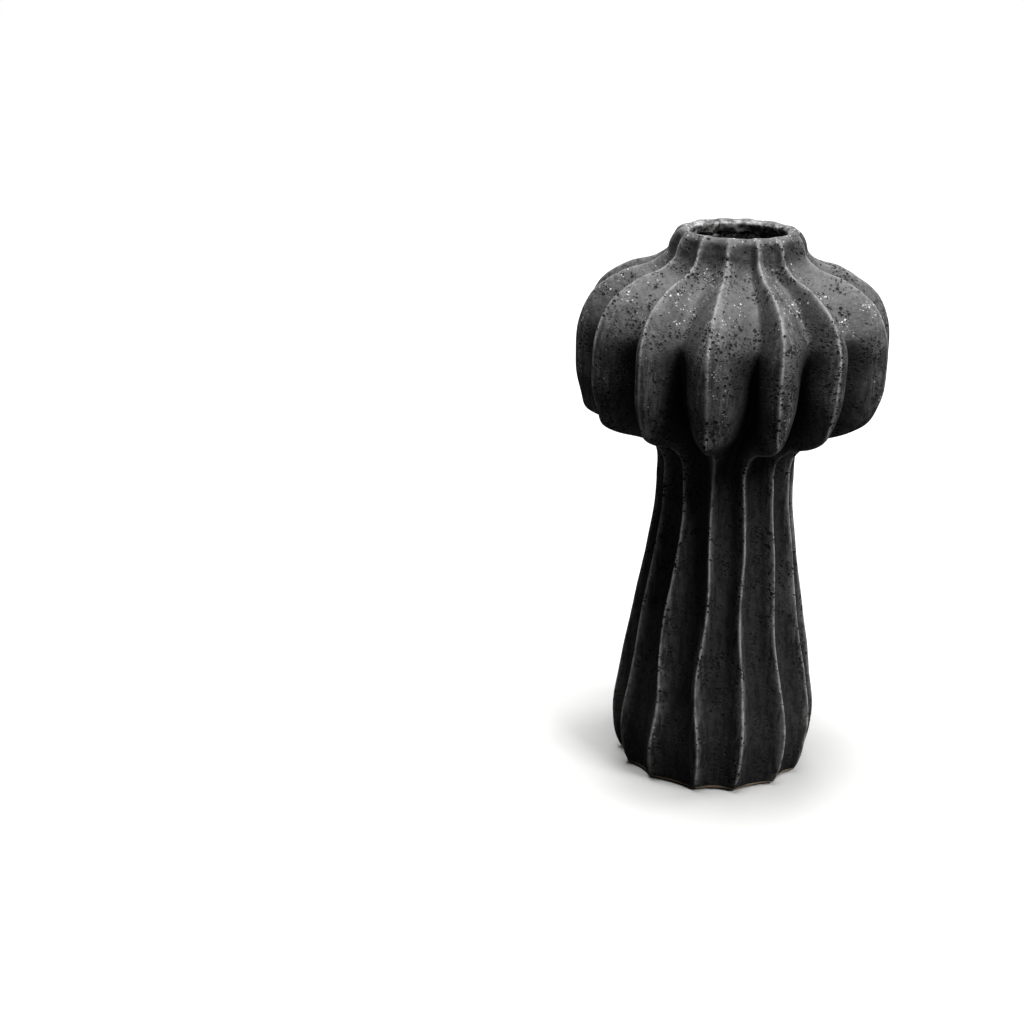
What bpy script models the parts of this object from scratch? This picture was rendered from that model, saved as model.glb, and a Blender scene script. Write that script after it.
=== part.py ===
"""Fluted stoneware vase: a flared ribbed stem, a pleated round head and a short collar.

The vase is a set of clay sections that are lapped into each other and luted with
coils on the inside. Every section follows the same ribs, so the flutes run without
a break from the foot to the lip. Metres, +Z up; the origin is on the ground under
the middle of the foot, and the angles of the ribs count from -Y towards +X.
"""

import math

import bmesh
import bpy
import numpy as np

# Ribs: the angle of each crest in degrees. They are set out by eye, not evenly.
RIB_ANGLES = (-83.5, -59.5, -34.5, -8.0, 17.5, 42.0, 71.5, 95.0, 114.0, 143.0, 171.0, 198.0, 225.0, 253.0)

# Where the fold after each crest lies in the head, as a share of the way to the
# next crest. On the stem every fold lies half way.
FOLD_PLACES = (0.50, 0.60, 0.45, 0.74, 0.71, 0.48, 0.54, 0.50, 0.46, 0.56, 0.50, 0.45, 0.55, 0.50)
EVEN_FOLD = 0.5

# How far each lobe of the head stands out over the stem in a tip, as a share of
# the longest tip; then that tip's reach and lift, and the span of a tip in stations.
RIB_TIPS = (0.7, 0.7, 0.6, 0.95, 1.0, 0.4, 0.2, 0.2, 0.4, 0.5, 0.4, 0.5, 0.4, 0.6)
TIP_REACH = 0.010
TIP_LIFT = 0.0012
TIP_SPAN = 0.75

# Stations of the wall from the foot to the inside of the lip, in millimetres:
# crest radius, crest height, valley radius, valley height, wall at the crest,
# wall at the valley, and how full the flank is half way down (0 hollow, 1 full).
STATIONS = {
    "foot": (60.3, 1.8, 56.8, 1.8, 7.0, 6.0, 0.30),
    "foot_round": (62.6, 6.5, 57.2, 6.5, 7.0, 6.0, 0.30),
    "swell": (66.3, 28.0, 58.7, 28.0, 6.5, 5.5, 0.30),
    "skirt": (62.0, 65.0, 54.4, 65.0, 6.5, 5.5, 0.30),
    "mid_stem": (54.8, 109.0, 47.2, 109.0, 6.5, 5.5, 0.30),
    "upper_stem": (48.0, 148.0, 40.4, 148.0, 6.5, 5.5, 0.30),
    "throat": (43.6, 192.0, 36.2, 192.0, 6.5, 5.5, 0.32),
    "crease": (45.7, 213.0, 37.2, 213.5, 6.5, 5.5, 0.40),
    "underside": (56.2, 222.8, 42.2, 226.5, 6.5, 5.5, 0.52),
    "overhang": (74.4, 231.0, 53.5, 239.0, 7.5, 5.5, 0.64),
    "lower_corner": (88.8, 241.8, 63.5, 250.5, 8.5, 5.5, 0.68),
    "low_side": (95.3, 256.2, 69.0, 263.0, 9.0, 5.5, 0.70),
    "widest": (96.8, 273.5, 73.5, 277.5, 9.0, 5.5, 0.68),
    "high_side": (95.6, 293.2, 79.0, 293.0, 9.0, 5.5, 0.62),
    "upper_corner": (87.8, 310.7, 70.0, 308.0, 8.5, 5.5, 0.54),
    "shoulder": (69.2, 324.0, 57.5, 318.8, 7.5, 5.5, 0.48),
    "fillet": (50.2, 330.8, 43.8, 327.2, 7.0, 5.5, 0.45),
    "collar_root": (43.2, 336.8, 39.4, 334.4, 7.0, 5.5, 0.42),
    "collar": (41.4, 342.8, 37.7, 341.2, 7.0, 5.5, 0.42),
    "lip_outside": (37.6, 348.4, 36.2, 347.6, 6.0, 5.0, 0.45),
    "lip_crest": (33.6, 350.0, 33.2, 349.6, 4.0, 4.0, 0.50),
    "lip_inside": (30.3, 347.6, 30.2, 347.4, 4.0, 4.0, 0.50),
    "lip_bore": (32.4, 342.6, 31.4, 342.0, 4.0, 4.0, 0.50),
}

MM_PER_M = 1000.0

# Spacing of the rings of points, in stations. The stem is nearly straight, so
# its rings stand further apart than those of the head and collar.
PROFILE_STEP = 0.02
STEM_STEP = 0.86
HEAD_STEP = 0.5
LIP_STEP = 0.4

# Joints between the clay sections: a lap half the wall thick.
GAP = 0.0003
LAP_GAP = 0.0005
LAP_HEIGHT = 0.005
SEAT_FALL = 0.001

# Floor, luting coils and base pad.
FLOOR_TOP = 0.0092
COIL_GAP = 0.0009
COIL_HALF_HEIGHT = 0.0045
COIL_DEPTH = 0.0042
COIL_ROUNDING = 0.65
PAD_RADIUS = 0.045
PAD_THICKNESS = 0.0015
PAD_EDGE = 0.0003
PAD_SIDES = 48

SHARP_ANGLE = math.radians(35.0)

# Where sections meet, counted in stations from the foot.
NAMES = list(STATIONS)
TABLE = np.array(list(STATIONS.values()))
FOOT_JOINT = float(NAMES.index("foot_round"))
NECK_JOINT = float(NAMES.index("crease"))
HEAD_JOINT = NAMES.index("widest") + 0.25
COLLAR_JOINT = NAMES.index("fillet") + 0.3
LIP_JOINT = float(NAMES.index("collar"))
LIP_END = float(NAMES.index("lip_bore"))
TIP_LEVEL = NAMES.index("overhang") + 0.3

# Over how many stations the folds turn from even to uneven, half way at the neck.
FOLD_TURN = 3.0

# Finishes: base colour and roughness.
FINISHES = {
    "charcoal_glaze": ((0.016, 0.016, 0.017, 1.0), 0.62),
    "raw_clay": ((0.30, 0.22, 0.15, 1.0), 0.90),
    "luting_clay": ((0.045, 0.043, 0.042, 1.0), 0.85),
    "felt": ((0.03, 0.03, 0.03, 1.0), 0.95),
}


def clear_scene():
    """Remove whatever objects the file opened with."""
    for old in list(bpy.data.objects):
        bpy.data.objects.remove(old, do_unlink=True)


def make_material(name):
    """Return a matt, non-metallic material with one of the finishes."""
    colour, roughness = FINISHES[name]
    material = bpy.data.materials.new(name)
    material.use_nodes = True
    shader = material.node_tree.nodes["Principled BSDF"]
    shader.inputs["Base Color"].default_value = colour
    shader.inputs["Roughness"].default_value = roughness
    shader.inputs["Metallic"].default_value = 0.0
    return material


def wall_profile(level):
    """Return the station values at a level, on a smooth curve through the stations."""
    last = len(TABLE) - 1
    lengths = np.hypot(np.diff(TABLE[:, 0]), np.diff(TABLE[:, 1]))
    slopes = np.diff(TABLE, axis=0) / lengths[:, None]

    def tangent(index):
        if index == 0:
            return slopes[0]
        if index == last:
            return slopes[-1]
        before, after = lengths[index - 1], lengths[index]
        return (after * slopes[index - 1] + before * slopes[index]) / (before + after)

    index = min(int(level), last - 1)
    share = level - index
    span = lengths[index]
    cubic, square = share ** 3, share ** 2
    return (
        (2 * cubic - 3 * square + 1) * TABLE[index]
        + (cubic - 2 * square + share) * span * tangent(index)
        + (3 * square - 2 * cubic) * TABLE[index + 1]
        + (cubic - square) * span * tangent(index + 1)
    )


def section_points(level, depth):
    """Return crest point, valley point (radius, height) and flank fullness.

    Depth is 0 on the outer face of the wall, 1 on its inner face, and more than 1
    inside the hollow.
    """
    here = wall_profile(level)
    above = wall_profile(min(level + PROFILE_STEP, LIP_END))
    below = wall_profile(max(level - PROFILE_STEP, 0.0))
    run = above - below
    points = []
    for column, wall in ((0, here[4]), (2, here[5])):
        forward = run[column:column + 2]
        inward = np.array((-forward[1], forward[0])) / np.hypot(*forward)
        points.append((here[column:column + 2] + inward * wall * depth) / MM_PER_M)
    return points[0], points[1], here[6]


def columns(level):
    """Return angle, place and tip of each point: place is 0 on a crest and 1 in a fold."""
    turned = min(max((level - NECK_JOINT + FOLD_TURN / 2) / FOLD_TURN, 0.0), 1.0)
    rows = []
    for index, crest in enumerate(RIB_ANGLES):
        after = (index + 1) % len(RIB_ANGLES)
        gap = (RIB_ANGLES[after] - crest) % 360.0
        own, other = RIB_TIPS[index], RIB_TIPS[after]
        fold = EVEN_FOLD + (FOLD_PLACES[index] - EVEN_FOLD) * turned
        for share, place, tip in (
            (0.0, 0.0, own),
            (fold / 2, 0.5, own),
            (fold, 1.0, own),
            ((1.0 + fold) / 2, 0.5, other),
        ):
            rows.append((math.radians(crest + gap * share), place, tip))
    return rows


def ring(level, depth):
    """Return one ring of points round the wall, anticlockwise from above."""
    crest, valley, fullness = section_points(level, depth)
    share_at = {0.0: 1.0, 0.5: fullness, 1.0: 0.0}
    hang = max(1.0 - depth, 0.0) * math.exp(-((level - TIP_LEVEL) / TIP_SPAN) ** 2)
    points = []
    for angle, place, tip in columns(level):
        radius, height = valley + (crest - valley) * share_at[place]
        radius += TIP_REACH * tip * hang * (1.0 - place)
        height += TIP_LIFT * tip * hang * (1.0 - place)
        points.append((radius * math.sin(angle), -radius * math.cos(angle), height))
    return points


def level_after(level, distance):
    """Return the level that lies a distance further up the wall."""
    moved = wall_profile(level + PROFILE_STEP) - wall_profile(level)
    nearest = min(np.hypot(moved[0], moved[1]), np.hypot(moved[2], moved[3])) / MM_PER_M
    return level + distance * PROFILE_STEP / nearest


def wall_share(level, distance):
    """Return a distance as a share of the wall's thickness at its thinner place."""
    here = wall_profile(level)
    return distance * MM_PER_M / min(here[4], here[5])


def levels_between(low, high, step):
    """Return evenly stepped levels strictly between two levels."""
    count = max(int(math.ceil((high - low) / step)), 1)
    return [low + (high - low) * k / count for k in range(1, count)]


def build_object(name, rings, material, closed_loop, caps=()):
    """Join rings of points into one closed body; caps are the middles of flat ends."""
    mesh = bpy.data.meshes.new(name)
    shape = bmesh.new()
    loops = [[shape.verts.new(point) for point in points] for points in rings]
    pairs = list(zip(loops, loops[1:]))
    if closed_loop:
        pairs.append((loops[-1], loops[0]))
    for first, second in pairs:
        rising = sum(vert.co.z for vert in first) <= sum(vert.co.z for vert in second)
        for k in range(len(first)):
            n = (k + 1) % len(first)
            if rising:
                shape.faces.new((first[k], first[n], second[n]))
                shape.faces.new((first[k], second[n], second[k]))
            else:
                shape.faces.new((first[k], first[n], second[k]))
                shape.faces.new((first[n], second[n], second[k]))
    for loop, centre, reverse in caps:
        middle = shape.verts.new(centre)
        edge = loops[loop]
        for k in range(len(edge)):
            n = (k + 1) % len(edge)
            start, end = (edge[n], edge[k]) if reverse else (edge[k], edge[n])
            shape.faces.new((start, end, middle))
    shape.to_mesh(mesh)
    shape.free()
    mesh.materials.append(material)
    mesh.shade_smooth()
    mesh.set_sharp_from_angle(angle=SHARP_ANGLE)
    piece = bpy.data.objects.new(name, mesh)
    bpy.context.scene.collection.objects.link(piece)
    return piece


def lower_lap(joint):
    """Return the rings where a section ends upward in a half-thick spigot."""
    top = level_after(joint, LAP_HEIGHT)
    return [ring(joint, 0.0), ring(joint, 0.5), ring(top, 0.5), ring(top, 1.0)]


def upper_lap(joint):
    """Return the rings where a section sits over that spigot, from inside to outside."""
    bottom = level_after(joint, GAP)
    top = level_after(level_after(joint, LAP_HEIGHT), GAP)
    clear = 0.5 - wall_share(joint, LAP_GAP)
    return [ring(top, 1.0), ring(top, clear), ring(bottom, clear), ring(bottom, 0.0)]


def lip_seat(lift):
    """Return the outer and inner rings of the nearly level seat that the lip lies on."""
    outside = ring(LIP_JOINT, 0.0)
    inside = ring(LIP_JOINT, 1.0)
    outer = [(x, y, z + lift) for x, y, z in outside]
    inner = [(near[0], near[1], far[2] - SEAT_FALL + lift) for near, far in zip(inside, outside)]
    return [outer, inner]


def make_section(name, low, high, material, step, open_top=False):
    """Make one ring of wall from a lapped joint up to the next lap, or to a plain top."""
    inner_low = level_after(level_after(low, LAP_HEIGHT), GAP)
    inner_high = high if open_top else level_after(high, LAP_HEIGHT)
    rings = upper_lap(low)[3:]
    rings += [ring(level, 0.0) for level in levels_between(low, high, step)]
    rings += lip_seat(0.0) if open_top else lower_lap(high)
    rings += [ring(level, 1.0) for level in reversed(levels_between(inner_low, inner_high, step))]
    rings += upper_lap(low)[:3]
    return build_object(name, rings, material, closed_loop=True)


def make_base_slab(material):
    """Make the fluted disc that closes the foot, with the spigot for the stem."""
    rings = [ring(0.0, 0.0), ring(FOOT_JOINT / 2, 0.0)] + lower_lap(FOOT_JOINT)
    floor_ring = [(x, y, FLOOR_TOP) for x, y, _ in ring(FOOT_JOINT, 1.0)]
    rings.append(floor_ring)
    foot_height = STATIONS["foot"][1] / MM_PER_M
    caps = ((0, (0.0, 0.0, foot_height), True), (len(rings) - 1, (0.0, 0.0, FLOOR_TOP), False))
    return build_object("base_slab", rings, material, closed_loop=False, caps=caps)


def make_lip(material):
    """Make the rounded coil that is laid on top of the collar as its lip."""
    outer_seat, inner_seat = lip_seat(GAP)
    rings = [outer_seat]
    rings += [ring(level, 0.0) for level in levels_between(LIP_JOINT, LIP_END, LIP_STEP)]
    rings += [ring(LIP_END, 0.0), inner_seat]
    return build_object("lip_coil", rings, material, closed_loop=True)


def make_seam_coil(name, level, material):
    """Make a flattened coil of clay pressed against the inside of a joint."""
    low = 2 * level - level_after(level, COIL_HALF_HEIGHT)
    high = level_after(level, COIL_HALF_HEIGHT)
    near = 1.0 + wall_share(level, COIL_GAP)
    far = 1.0 + wall_share(level, COIL_DEPTH)
    shoulder = near + (far - near) * COIL_ROUNDING
    rings = [
        ring(low, near),
        ring(level, near),
        ring(high, near),
        ring(level + (high - level) * COIL_ROUNDING, shoulder),
        ring(level, far),
        ring(level - (level - low) * COIL_ROUNDING, shoulder),
    ]
    return build_object(name, rings, material, closed_loop=True)


def make_base_pad(material):
    """Make the round felt pad glued under the foot."""
    shape = bmesh.new()
    bmesh.ops.create_cone(
        shape,
        cap_ends=True,
        segments=PAD_SIDES,
        radius1=PAD_RADIUS,
        radius2=PAD_RADIUS,
        depth=PAD_THICKNESS,
    )
    rim_edges = [edge for edge in shape.edges if abs(edge.verts[0].co.z - edge.verts[1].co.z) < PAD_EDGE]
    bmesh.ops.bevel(shape, geom=rim_edges, offset=PAD_EDGE, segments=1, affect="EDGES")
    mesh = bpy.data.meshes.new("felt_base_pad")
    shape.to_mesh(mesh)
    shape.free()
    mesh.materials.append(material)
    mesh.shade_smooth()
    mesh.set_sharp_from_angle(angle=SHARP_ANGLE)
    piece = bpy.data.objects.new("felt_base_pad", mesh)
    piece.location = (0.0, 0.0, PAD_THICKNESS / 2)
    bpy.context.scene.collection.objects.link(piece)
    return piece


clear_scene()
glaze = make_material("charcoal_glaze")
raw_clay = make_material("raw_clay")
luting_clay = make_material("luting_clay")
felt = make_material("felt")

make_base_pad(felt)
make_base_slab(raw_clay)
make_section("stem_wall", FOOT_JOINT, NECK_JOINT, glaze, STEM_STEP)
make_section("head_bowl", NECK_JOINT, HEAD_JOINT, glaze, HEAD_STEP)
make_section("head_dome", HEAD_JOINT, COLLAR_JOINT, glaze, HEAD_STEP)
make_section("collar_neck", COLLAR_JOINT, LIP_JOINT, glaze, HEAD_STEP, open_top=True)
make_lip(glaze)
make_seam_coil("neck_seam_coil", level_after(NECK_JOINT, LAP_HEIGHT), luting_clay)
make_seam_coil("head_seam_coil", level_after(HEAD_JOINT, LAP_HEIGHT), luting_clay)
make_seam_coil("base_seam_coil", level_after(FOOT_JOINT, LAP_HEIGHT + COIL_HALF_HEIGHT), luting_clay)
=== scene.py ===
import math

import bpy
import numpy as np
from mathutils import Matrix, Vector, noise


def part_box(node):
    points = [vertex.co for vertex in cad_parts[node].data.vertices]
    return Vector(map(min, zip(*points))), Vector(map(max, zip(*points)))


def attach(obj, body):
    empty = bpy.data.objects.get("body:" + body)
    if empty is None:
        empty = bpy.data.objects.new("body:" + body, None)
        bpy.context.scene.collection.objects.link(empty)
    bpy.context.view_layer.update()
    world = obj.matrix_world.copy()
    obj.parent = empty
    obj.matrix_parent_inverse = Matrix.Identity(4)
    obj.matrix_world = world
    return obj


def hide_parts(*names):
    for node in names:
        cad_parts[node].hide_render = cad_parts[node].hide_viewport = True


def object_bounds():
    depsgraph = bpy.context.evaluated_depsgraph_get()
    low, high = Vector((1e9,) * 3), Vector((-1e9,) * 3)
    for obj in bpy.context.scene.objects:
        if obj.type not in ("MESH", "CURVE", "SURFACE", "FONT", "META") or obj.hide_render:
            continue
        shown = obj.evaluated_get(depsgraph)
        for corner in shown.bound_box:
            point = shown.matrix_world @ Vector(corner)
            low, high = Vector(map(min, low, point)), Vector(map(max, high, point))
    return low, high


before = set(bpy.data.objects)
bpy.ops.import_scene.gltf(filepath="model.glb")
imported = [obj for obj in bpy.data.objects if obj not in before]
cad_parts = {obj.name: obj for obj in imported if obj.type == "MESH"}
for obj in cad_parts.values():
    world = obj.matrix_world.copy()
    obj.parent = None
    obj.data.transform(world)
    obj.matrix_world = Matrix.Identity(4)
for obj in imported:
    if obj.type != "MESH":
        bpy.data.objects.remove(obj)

cad_low, cad_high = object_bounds()


# ---------------------------------------------------------------------------
# Felt base pad
# A round pad of black felt, punched from sheet and glued under the foot. Its cut
# edge is a little hairy.
# ---------------------------------------------------------------------------

def new_material(name):
    """Make a material; return it with its tree and its Principled shader."""
    material = bpy.data.materials.new(name)
    material.use_nodes = True
    return material, material.node_tree, material.node_tree.nodes["Principled BSDF"]


def add_node(tree, kind, **settings):
    """Add a shader node and set its plain attributes and its unlinked inputs."""
    node = tree.nodes.new(kind)
    for name, value in settings.items():
        if name in node.inputs:
            node.inputs[name].default_value = value
        else:
            setattr(node, name, value)
    return node


def finish_mesh(name, verts, faces, material, smooth_angle=None):
    """Make an object from plain lists, shade it smooth and put it in the scene."""
    mesh = bpy.data.meshes.new(name)
    mesh.from_pydata(verts, [], faces)
    mesh.materials.append(material)
    mesh.shade_smooth()
    if smooth_angle is not None:
        mesh.set_sharp_from_angle(angle=math.radians(smooth_angle))
    piece = bpy.data.objects.new(name, mesh)
    bpy.context.scene.collection.objects.link(piece)
    return piece


FELT_DARK = (0.012, 0.012, 0.013, 1.0)
FELT_LINT = (0.045, 0.043, 0.042, 1.0)
FELT_SMOOTHEST = 0.85
FELT_ROUGHEST = 1.0
FIBRE_RELIEF = 0.0004


def capped_rings(rings, count):
    """Return the faces of stacked rings of points, with a single point at each end."""
    faces = []
    last = 1 + rings * count
    for column in range(count):
        beside = (column + 1) % count
        faces.append((0, 1 + beside, 1 + column))
        for ring in range(rings - 1):
            start = 1 + ring * count
            faces.append((start + column, start + beside, start + count + beside, start + count + column))
        start = last - count
        faces.append((start + column, start + beside, last))
    return faces


felt, tree, shader = new_material("black_felt")
coords = add_node(tree, "ShaderNodeTexCoord")
fibres = add_node(tree, "ShaderNodeTexNoise", Scale=1400.0, Detail=4.0, Roughness=0.7)
clumps = add_node(tree, "ShaderNodeTexNoise", Scale=160.0, Detail=2.0)
felt_tone = add_node(tree, "ShaderNodeMix", data_type="RGBA")
felt_tone.inputs["A"].default_value = FELT_DARK
felt_tone.inputs["B"].default_value = FELT_LINT
felt_rough = add_node(tree, "ShaderNodeMapRange")
felt_rough.inputs["To Min"].default_value = FELT_SMOOTHEST
felt_rough.inputs["To Max"].default_value = FELT_ROUGHEST
felt_bump = add_node(tree, "ShaderNodeBump", Strength=0.6, Distance=FIBRE_RELIEF)
tree.links.new(coords.outputs["Object"], fibres.inputs["Vector"])
tree.links.new(coords.outputs["Object"], clumps.inputs["Vector"])
tree.links.new(fibres.outputs["Fac"], felt_tone.inputs["Factor"])
tree.links.new(clumps.outputs["Fac"], felt_rough.inputs["Value"])
tree.links.new(fibres.outputs["Fac"], felt_bump.inputs["Height"])
tree.links.new(felt_tone.outputs["Result"], shader.inputs["Base Color"])
tree.links.new(felt_rough.outputs["Result"], shader.inputs["Roughness"])
tree.links.new(felt_bump.outputs["Normal"], shader.inputs["Normal"])

pad_low, pad_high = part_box("felt_base_pad")
PAD_RADIUS = (pad_high[0] - pad_low[0]) / 2
PAD_THICKNESS = pad_high[2] - pad_low[2]
PAD_SIDES = 240
PAD_EDGE = 0.0004
CUT_EDGE_SHARE = 0.99
HAIR_LENGTH = 0.0004
HAIR_SPACING = 0.9
HAIR_LAYERS = 3000.0
HAIR_TRIM = 0.6

# Rings from the middle of the underside, round the cut edge, to the middle of the
# top: each is a share of the radius and a height above the underside.
pad_rings = (
    (0.35, 0.0), (0.7, 0.0), (0.93, 0.0),
    (1.0 - PAD_EDGE / PAD_RADIUS, 0.0), (1.0, PAD_EDGE), (1.0, PAD_THICKNESS / 2),
    (1.0, PAD_THICKNESS - PAD_EDGE), (1.0 - PAD_EDGE / PAD_RADIUS, PAD_THICKNESS),
    (0.7, PAD_THICKNESS), (0.35, PAD_THICKNESS),
)
pad_verts = [(0.0, 0.0, pad_low[2])]
for share, lift in pad_rings:
    for side in range(PAD_SIDES):
        angle = math.tau * side / PAD_SIDES
        spot = Vector((side * HAIR_SPACING, share, lift * HAIR_LAYERS))
        hair = HAIR_LENGTH * (noise.noise(spot) - HAIR_TRIM)
        radius = PAD_RADIUS * share + (hair if share > CUT_EDGE_SHARE else 0.0)
        pad_verts.append((radius * math.cos(angle), radius * math.sin(angle), pad_low[2] + lift))
pad_verts.append((0.0, 0.0, pad_high[2]))
pad_faces = capped_rings(len(pad_rings), PAD_SIDES)
felt_pad = finish_mesh("felt_base_pad_visual", pad_verts, pad_faces, felt, smooth_angle=50.0)
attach(felt_pad, "root")
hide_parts("felt_base_pad")


# ---------------------------------------------------------------------------
# Base slab
# A fluted disc of buff stoneware that closes the foot. Its edge is the start of
# the ribs, glazed down to a few millimetres above the ground; the clay below the
# glaze line and underneath is bare.
# ---------------------------------------------------------------------------

# The crests, in degrees from the front (-Y) towards +X.
RIB_ANGLES = (-83.5, -59.5, -34.5, -8.0, 17.5, 42.0, 71.5, 95.0, 114.0, 143.0, 171.0, 198.0, 225.0, 253.0)

# How far each crest turns, in degrees, as it passes from the stem to the head, and
# where the fold after it lies in the head, as a share of the way to the next crest.
RIB_LEANS = (3.0, 4.0, 3.0, 1.0, 1.0, -3.5, 3.0, 3.5, -5.0, 2.0, -1.5, 1.5, -2.0, 5.0)
FOLD_PLACES = (0.50, 0.60, 0.45, 0.74, 0.71, 0.48, 0.54, 0.50, 0.46, 0.56, 0.50, 0.45, 0.55, 0.50)

# How far each lobe of the head stands out over the stem, as a share of the longest tip.
RIB_TIPS = (0.7, 0.7, 0.6, 0.95, 1.0, 0.4, 0.2, 0.2, 0.4, 0.5, 0.4, 0.5, 0.4, 0.6)

# Down the stem each crest wanders from side to side: by how many degrees, over
# what length in metres, and the height at which it leans furthest towards +X.
RIB_WAVES = (
    (0.9, 0.120, 0.150), (1.0, 0.130, 0.200), (2.0, 0.120, 0.172), (1.7, 0.110, 0.130),
    (1.4, 0.115, 0.165), (2.4, 0.135, 0.168), (2.8, 0.098, 0.156), (1.5, 0.105, 0.120),
    (1.8, 0.125, 0.090), (1.2, 0.110, 0.140), (2.2, 0.130, 0.175), (1.4, 0.100, 0.110),
    (1.9, 0.120, 0.150), (1.3, 0.115, 0.080),
)

# Stations of the wall from the foot to the inside of the lip, in millimetres:
# crest radius and height, valley radius and height, wall at crest and valley,
# then the flank: how round it is, how hollow it is, crest radius, valley radius.
STATIONS = {
    "foot": (60.3, 1.8, 56.8, 1.8, 7.0, 6.0, 1.0, 1.75, 0.10, 0.25),
    "foot_round": (62.6, 6.5, 57.2, 6.5, 7.0, 6.0, 1.0, 1.75, 0.09, 0.25),
    "swell": (66.3, 28.0, 58.7, 28.0, 6.5, 5.5, 1.0, 1.75, 0.07, 0.25),
    "skirt": (62.0, 65.0, 54.4, 65.0, 6.5, 5.5, 1.0, 1.75, 0.07, 0.25),
    "mid_stem": (54.8, 109.0, 47.2, 109.0, 6.5, 5.5, 1.0, 1.75, 0.07, 0.25),
    "upper_stem": (48.0, 148.0, 40.4, 148.0, 6.5, 5.5, 1.0, 1.70, 0.07, 0.25),
    "throat": (43.6, 192.0, 36.2, 192.0, 6.5, 5.5, 1.0, 1.60, 0.07, 0.22),
    "crease": (45.7, 213.0, 37.2, 213.5, 6.5, 5.5, 1.2, 1.35, 0.06, 0.18),
    "underside": (56.2, 222.8, 42.2, 226.5, 6.5, 5.5, 1.15, 1.15, 0.05, 0.10),
    "overhang": (74.4, 231.0, 53.5, 239.0, 7.5, 5.5, 1.15, 1.0, 0.04, 0.06),
    "lower_corner": (88.8, 241.8, 63.5, 250.5, 8.5, 5.5, 1.5, 1.0, 0.035, 0.05),
    "low_side": (95.3, 256.2, 69.0, 263.0, 9.0, 5.5, 1.85, 1.0, 0.035, 0.05),
    "widest": (96.8, 273.5, 73.5, 277.5, 9.0, 5.5, 1.75, 1.0, 0.035, 0.06),
    "high_side": (95.6, 293.2, 79.0, 293.0, 9.0, 5.5, 1.5, 1.0, 0.04, 0.14),
    "upper_corner": (87.8, 310.7, 70.0, 308.0, 8.5, 5.5, 1.25, 1.05, 0.05, 0.40),
    "shoulder": (69.2, 324.0, 57.5, 318.8, 7.5, 5.5, 1.1, 1.15, 0.07, 0.50),
    "fillet": (50.2, 330.8, 43.8, 327.2, 7.0, 5.5, 1.1, 1.25, 0.12, 0.50),
    "collar_root": (43.2, 336.8, 39.4, 334.4, 7.0, 5.5, 1.1, 1.30, 0.18, 0.50),
    "collar": (41.4, 342.8, 37.7, 341.2, 7.0, 5.5, 1.1, 1.30, 0.25, 0.50),
    "lip_outside": (37.6, 348.4, 36.2, 347.6, 6.0, 5.0, 1.1, 1.20, 0.40, 0.50),
    "lip_crest": (33.6, 350.0, 33.2, 349.6, 4.0, 4.0, 1.1, 1.10, 0.40, 0.50),
    "lip_inside": (30.3, 347.6, 30.2, 347.4, 4.0, 4.0, 1.1, 1.10, 0.40, 0.50),
    "lip_bore": (32.4, 342.6, 31.4, 342.0, 4.0, 4.0, 1.1, 1.10, 0.40, 0.50),
}
CREST_AT, VALLEY_AT = 0, 2
CREST_WALL, VALLEY_WALL = 4, 5
FLANK_ROUND, FLANK_HOLLOW = 6, 7
CREST_SOFT, VALLEY_SOFT = 8, 9
LEVEL = {name: float(index) for index, name in enumerate(STATIONS)}
HEIGHT = cad_high[2] - cad_low[2]
MILLIMETRES = 1000.0
TABLE = np.array(list(STATIONS.values()))
TABLE[:, 0:6] /= MILLIMETRES
TABLE[:, (1, 3)] *= HEIGHT / TABLE[:, 1].max()
TABLE[:, (0, 2)] *= (cad_high[0] - cad_low[0]) / 2 / TABLE[:, 0].max()
SPANS = np.hypot(np.diff(TABLE[:, 0]), np.diff(TABLE[:, 1]))
SLOPES = np.diff(TABLE, axis=0) / SPANS[:, None]
TANGENTS = np.vstack((
    SLOPES[:1],
    (SPANS[1:, None] * SLOPES[:-1] + SPANS[:-1, None] * SLOPES[1:])
    / (SPANS[1:] + SPANS[:-1])[:, None],
    SLOPES[-1:],
))

# Where one section of clay ends and the next begins, in stations from the foot.
FOOT_JOINT = LEVEL["foot_round"]
NECK_JOINT = LEVEL["crease"]
HEAD_JOINT = LEVEL["widest"] + 0.25
COLLAR_JOINT = LEVEL["fillet"] + 0.3
LIP_JOINT = LEVEL["collar"]
LIP_END = LEVEL["lip_bore"]

# Points laid from each crest to the fold beside it, closer together at the crest.
HALF_STEPS = 13
CREST_CROWDING = 1.35

# The height at which a rib is all head, and the height over which it turns from
# stem to head. On the stem each fold is half way between two crests, and half of a
# rib's lean falls on either side of its angle.
HEAD_START = 0.236
TURN_HEIGHT = 0.035
EVEN_FOLD = 0.5
LEAN_MIDDLE = 0.5

# A second, shorter sway that every crest has from foot to lip: degrees, metres,
# and how far each rib's sway is ahead of the one before it.
SWAY_DEGREES = 0.35
SWAY_LENGTH = 0.075
SWAY_LEAD = 1.7

# Where the lobes stand out over the stem, over how many stations, and how far out
# and up the longest of them goes.
TIP_LEVEL = LEVEL["overhang"] + 0.3
TIP_SPAN = 0.75
TIP_REACH = 0.010
TIP_LIFT = 0.0012

# Half the width of the pale line painted along a crest (a painted highlight, partly
# glaze spread thinly there), how much rounder the valleys and crests are on the inside
# of the wall, and the small step along the stations that shows which way the wall runs.
CREST_LINE = 0.00075
INNER_VALLEY_ROUNDING = 0.6
INNER_CREST_ROUNDING = 4.0
LEVEL_STEP = 0.01


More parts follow.
